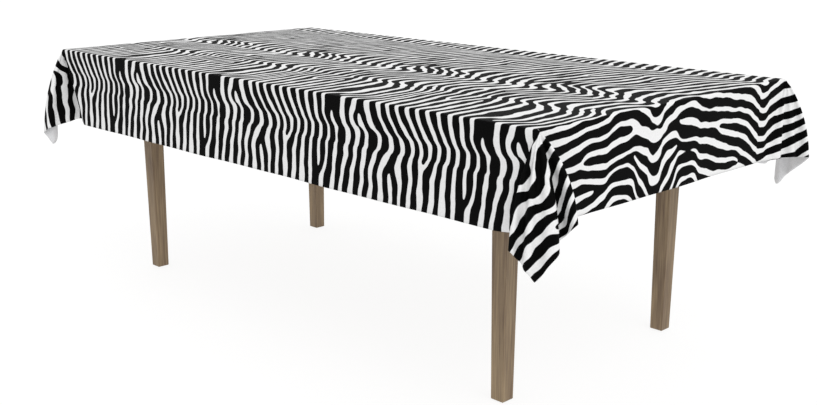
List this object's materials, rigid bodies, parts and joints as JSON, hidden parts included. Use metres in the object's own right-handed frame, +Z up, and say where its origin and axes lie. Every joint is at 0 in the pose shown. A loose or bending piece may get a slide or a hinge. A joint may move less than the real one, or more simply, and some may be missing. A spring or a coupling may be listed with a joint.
{
  "type": "tablecloth on a table",
  "caption": "Rectangular zebra-print tablecloth draped over a wooden dining table, with flat drops, hanging corner flutes and square tapered legs.",
  "frame": {"origin": "on the floor, under the middle of the table", "axes": "+X along the table's length, +Y across its width, +Z up"},
  "size_m": [2.146, 1.19, 0.74],
  "materials": {
    "printed_cloth": "smooth, slightly satin sheet printed in black stripes on white, plain white on its underside",
    "board_wood": "satin lacquered board",
    "leg_wood": "matt taupe-brown wood with straight vertical grain",
    "rail_wood": "matt taupe-brown wood",
    "block_wood": "raw sanded hardwood",
    "zinc_steel": "zinc plated",
    "glide_nylon": "moulded nylon"
  },
  "bodies": {
    "table": {"apron_back": "rail_wood", "apron_front": "rail_wood", "apron_left": "rail_wood", "apron_right": "rail_wood", "block_screw_back_left_back": "zinc_steel", "block_screw_back_left_left": "zinc_steel", "block_screw_back_right_back": "zinc_steel", "block_screw_back_right_right": "zinc_steel", "block_screw_front_left_front": "zinc_steel", "block_screw_front_left_left": "zinc_steel", "block_screw_front_right_front": "zinc_steel", "block_screw_front_right_right": "zinc_steel", "button_back_1": "block_wood", "button_back_2": "block_wood", "button_back_3": "block_wood", "button_front_1": "block_wood", "button_front_2": "block_wood", "button_front_3": "block_wood", "button_left": "block_wood", "button_right": "block_wood", "corner_block_back_left": "block_wood", "corner_block_back_right": "block_wood", "corner_block_front_left": "block_wood", "corner_block_front_right": "block_wood", "cross_rail_left": "rail_wood", "cross_rail_right": "rail_wood", "glide_back_left": "glide_nylon", "glide_back_right": "glide_nylon", "glide_front_left": "glide_nylon", "glide_front_right": "glide_nylon", "hanger_bolt_back_left": "zinc_steel", "hanger_bolt_back_right": "zinc_steel", "hanger_bolt_front_left": "zinc_steel", "hanger_bolt_front_right": "zinc_steel", "leg_back_left": "leg_wood", "leg_back_right": "leg_wood", "leg_front_left": "leg_wood", "leg_front_right": "leg_wood", "nut_back_left": "zinc_steel", "nut_back_right": "zinc_steel", "nut_front_left": "zinc_steel", "nut_front_right": "zinc_steel", "screw_button_back_1": "zinc_steel", "screw_button_back_2": "zinc_steel", "screw_button_back_3": "zinc_steel", "screw_button_front_1": "zinc_steel", "screw_button_front_2": "zinc_steel", "screw_button_front_3": "zinc_steel", "screw_button_left": "zinc_steel", "screw_button_right": "zinc_steel", "table_top": "board_wood", "washer_back_left": "zinc_steel", "washer_back_right": "zinc_steel", "washer_front_left": "zinc_steel", "washer_front_right": "zinc_steel"},
    "cloth": {"tablecloth": "printed_cloth"}
  },
  "joints": [
    {"name": "cloth_lift", "type": "slide", "parent": "table", "child": "cloth", "axis": [0, 0, 1], "range_m": [0, 0.36]}
  ]
}
